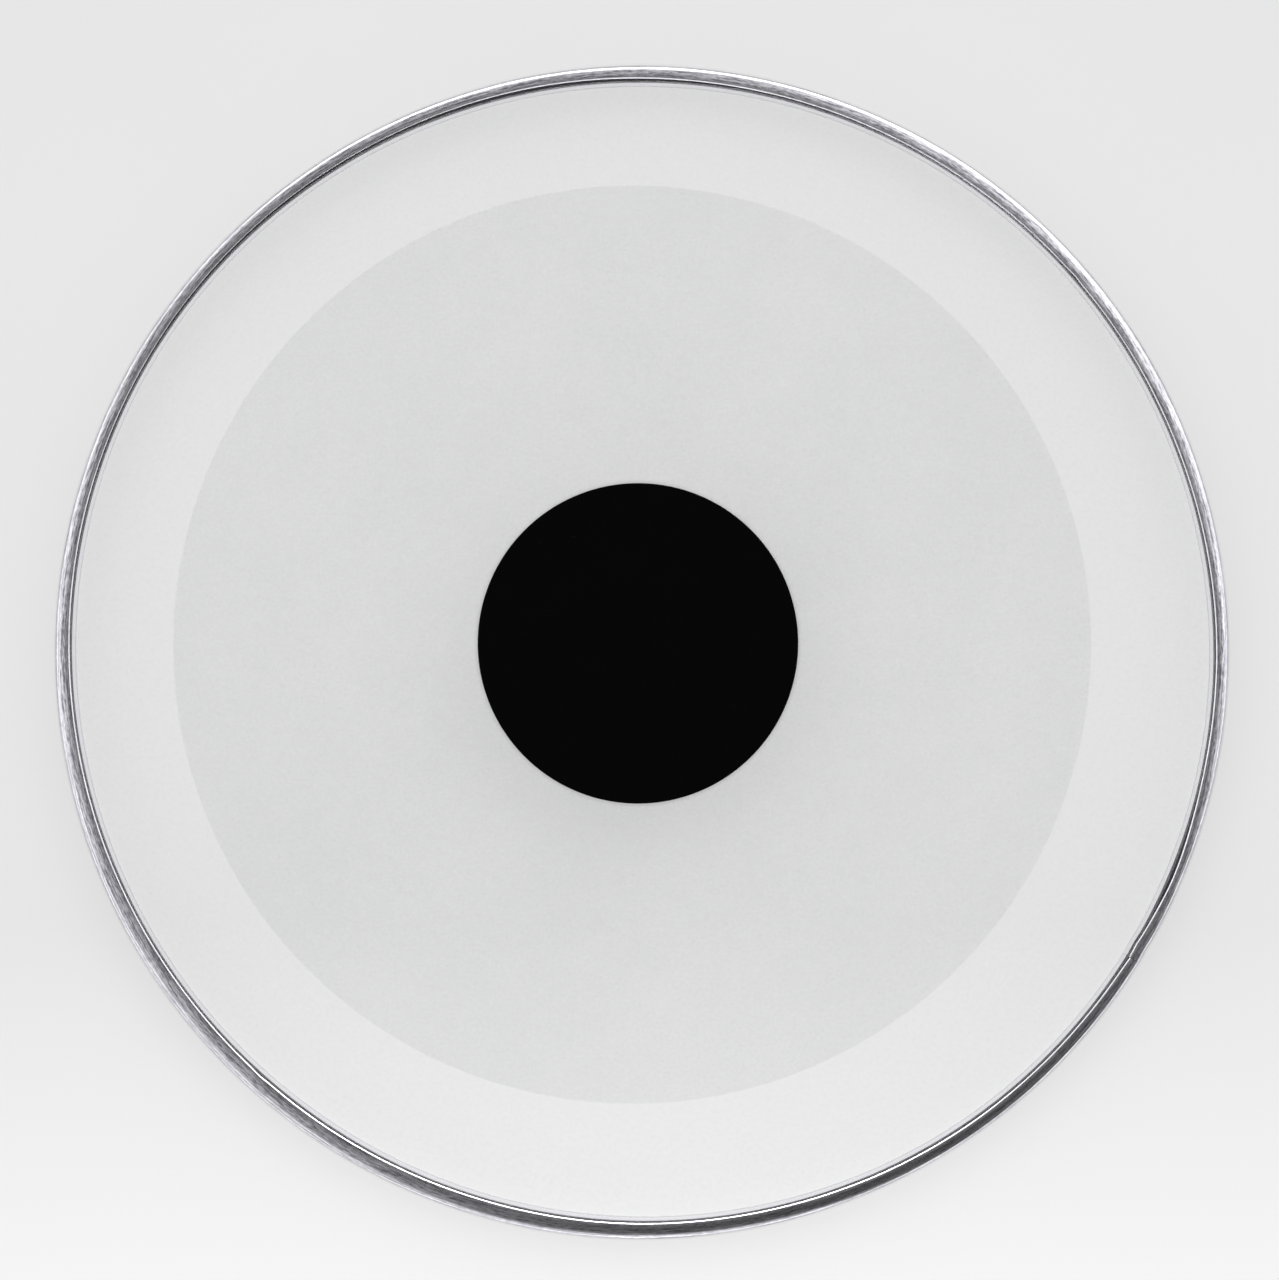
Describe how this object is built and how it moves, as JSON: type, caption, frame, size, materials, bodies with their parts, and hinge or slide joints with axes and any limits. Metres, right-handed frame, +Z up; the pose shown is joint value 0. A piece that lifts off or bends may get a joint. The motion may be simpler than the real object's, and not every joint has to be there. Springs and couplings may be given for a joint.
{
  "type": "drum head",
  "caption": "Clear film drum head with a formed collar locked in a rolled aluminium hoop, a glued damping disc and a black centre dot.",
  "frame": {"origin": "middle of the hoop's foot, on the surface that the head lies on", "axes": "+Z up through the playing face, +X to the right and +Y to the top of the picture"},
  "size_m": [0.367, 0.367, 0.0197],
  "materials": {
    "hoop": "rolled, fine rough grain",
    "splice": "sawn bar",
    "resin": "cast",
    "film": "clear gloss",
    "patch": "clear gloss",
    "glue": "clear",
    "dot": "satin black"
  },
  "bodies": {
    "root": {"hoop_channel": "hoop", "hoop_splice": "splice", "locking_resin": "resin", "batter_film": "film", "patch_glue": "glue", "damping_patch": "patch", "dot_glue": "glue", "centre_dot": "dot"}
  },
  "joints": []
}
